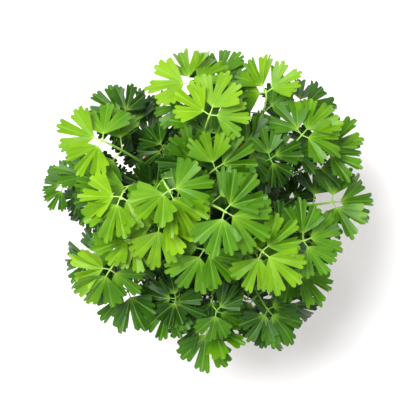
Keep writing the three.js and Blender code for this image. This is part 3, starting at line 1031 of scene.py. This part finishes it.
def scatter(name, paint, number, sizes, step, squash):
    """Grains spread evenly over the soil between the crowns and the stalks."""
    feet = [curve.at(0) for _, curve, _ in leaves + young]
    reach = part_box("potting_soil")[1].x / MM - FREE["wall"]
    bm = bmesh.new()
    for i in range(number):
        at = along(137.508 * i * step, reach * math.sqrt((i + 0.5) / number), soil_top)
        if min((at - crown).length for crown in crown_places) < CROWN["radius"] + FREE["crown"]:
            continue
        if min(math.hypot(at.x - foot.x, at.y - foot.y) for foot in feet) < FREE["foot"]:
            continue
        size = sizes[0] + (sizes[1] - sizes[0]) * (0.5 + 0.5 * vary(i, 1, "tint")) ** 2
        turn = Matrix.Rotation(i * 2.4, 4, Vector((vary(i, 2, "roll"), vary(i, 3, "tilt"), 1)).normalized())
        shape = Matrix.Diagonal((size, size * (0.8 + 0.2 * vary(i, 4, "lift")), size * squash, 1))
        lifted = Matrix.Translation((at + UP * 0.5 * size * squash) * MM)
        bmesh.ops.create_icosphere(bm, subdivisions=1, radius=1,
                                   matrix=lifted @ Matrix.Scale(MM, 4) @ shape @ turn)
    print(name, "grains with", len(bm.faces), "faces")
    return piece(name, bm, [paint], smooth=False)


scatter("soil_crumbs", soil_finish, 1500, (0.5, 2.2), 1, 0.75)
scatter("perlite_grains", perlite_paint(), 90, (0.5, 1.3), 5, 0.8)

# %% [markdown]
# ## Crowns
# The crown is the shoulder of the tap root, where the stalks come from. It is ribbed by the old stalk
# bases and tapers into the root. A spun profile gives the round form, and the part above the soil is
# pulled in along seven ribs.

# %% Crown pieces
RIB_COUNT = 7
CROWN_PROFILE = [(0, -38), (0.18, -38), (0.55, -22), (0.88, -7), (0.96, -2), (0.98, 1), (0.95, 3.4),
                 (0.82, 5.4), (0.58, 6.6), (0.3, 7), (0, 7)]


def crown_paint():
    paint = Paint("crown_skin", 0.6, 0.3)
    streaks = paint.noise(300, 5, 0.65)
    colour = paint.node("ShaderNodeValToRGB", {"stops": [
        (0.25, (0.16, 0.12, 0.045)), (0.5, (0.36, 0.36, 0.13)), (0.8, (0.55, 0.58, 0.28)),
    ]}, {0: streaks})
    paint.set(Base_Color=colour, Normal=paint.bump(streaks, 0.0005, 0.6))
    return paint


crown_finish = crown_paint()
for name, place in zip(crown_nodes, crown_places):
    bm = spun([(share * CROWN["radius"], z) for share, z in CROWN_PROFILE], 28)
    for vert in bm.verts:
        rib = 0.5 - 0.5 * math.cos(RIB_COUNT * math.atan2(vert.co.y, vert.co.x))
        vert.co.xy *= 1 - 0.12 * rib * min(max(vert.co.z / MM + 2, 0) / 4, 1)
    bmesh.ops.translate(bm, verts=bm.verts, vec=place * MM)
    piece("root_" + name, bm, [crown_finish], name)
print("crowns:", len(crown_nodes))

# %% [markdown]
# ## Studio
# A pale floor, a wide soft key light from the upper left, a weak fill, and a bright, even sky. The
# camera looks straight down.

# %% Floor
floor_bm = bmesh.new()
bmesh.ops.create_grid(floor_bm, x_segments=1, y_segments=1, size=4)
floor_mesh = bpy.data.meshes.new("studio_floor")
floor_bm.to_mesh(floor_mesh)
floor_bm.free()
floor_paint = Paint("studio_white", 0.9, 0.1)
floor_paint.set(Base_Color=(0.93, 0.93, 0.93))
floor_mesh.materials.append(floor_paint.material)
floor = bpy.data.objects.new("studio_floor", floor_mesh)
bpy.context.scene.collection.objects.link(floor)

# %% Lights
target = Vector((0, 0, 0.17))


def softbox(name, bearing, elevation, distance, size, watts):
    light = bpy.data.lights.new(name, "AREA")
    light.shape = "DISK"
    light.size = size
    light.energy = watts
    lamp = bpy.data.objects.new(name, light)
    tilt = math.radians(elevation)
    lamp.location = target + along(bearing, math.cos(tilt), math.sin(tilt)) * distance
    lamp.rotation_mode = "QUATERNION"
    lamp.rotation_quaternion = (lamp.location - target).to_track_quat("Z", "Y")
    bpy.context.scene.collection.objects.link(lamp)


softbox("key", bearing=140, elevation=66, distance=1.6, size=0.8, watts=37)
softbox("fill", bearing=-40, elevation=50, distance=1.8, size=1.2, watts=4)

world = bpy.data.worlds.new("studio")
world.use_nodes = True
world.node_tree.nodes["Background"].inputs["Color"].default_value = (1, 1, 1, 1)
world.node_tree.nodes["Background"].inputs["Strength"].default_value = 0.70
bpy.context.scene.world = world
bpy.context.scene.view_settings.view_transform = "Standard"

# %% Camera
FIELD = 0.303
CANOPY_TOP = 0.045  # below the highest leaf
camera_data = bpy.data.cameras.new("camera")
camera_data.sensor_width = 36
camera_data.lens = 100
distance = FIELD * camera_data.lens / camera_data.sensor_width
camera = bpy.data.objects.new("camera", camera_data)
camera.location = Vector((0.0015, -0.0005, cad_box[1].z - CANOPY_TOP + distance))
bpy.context.scene.collection.objects.link(camera)
bpy.context.scene.camera = camera
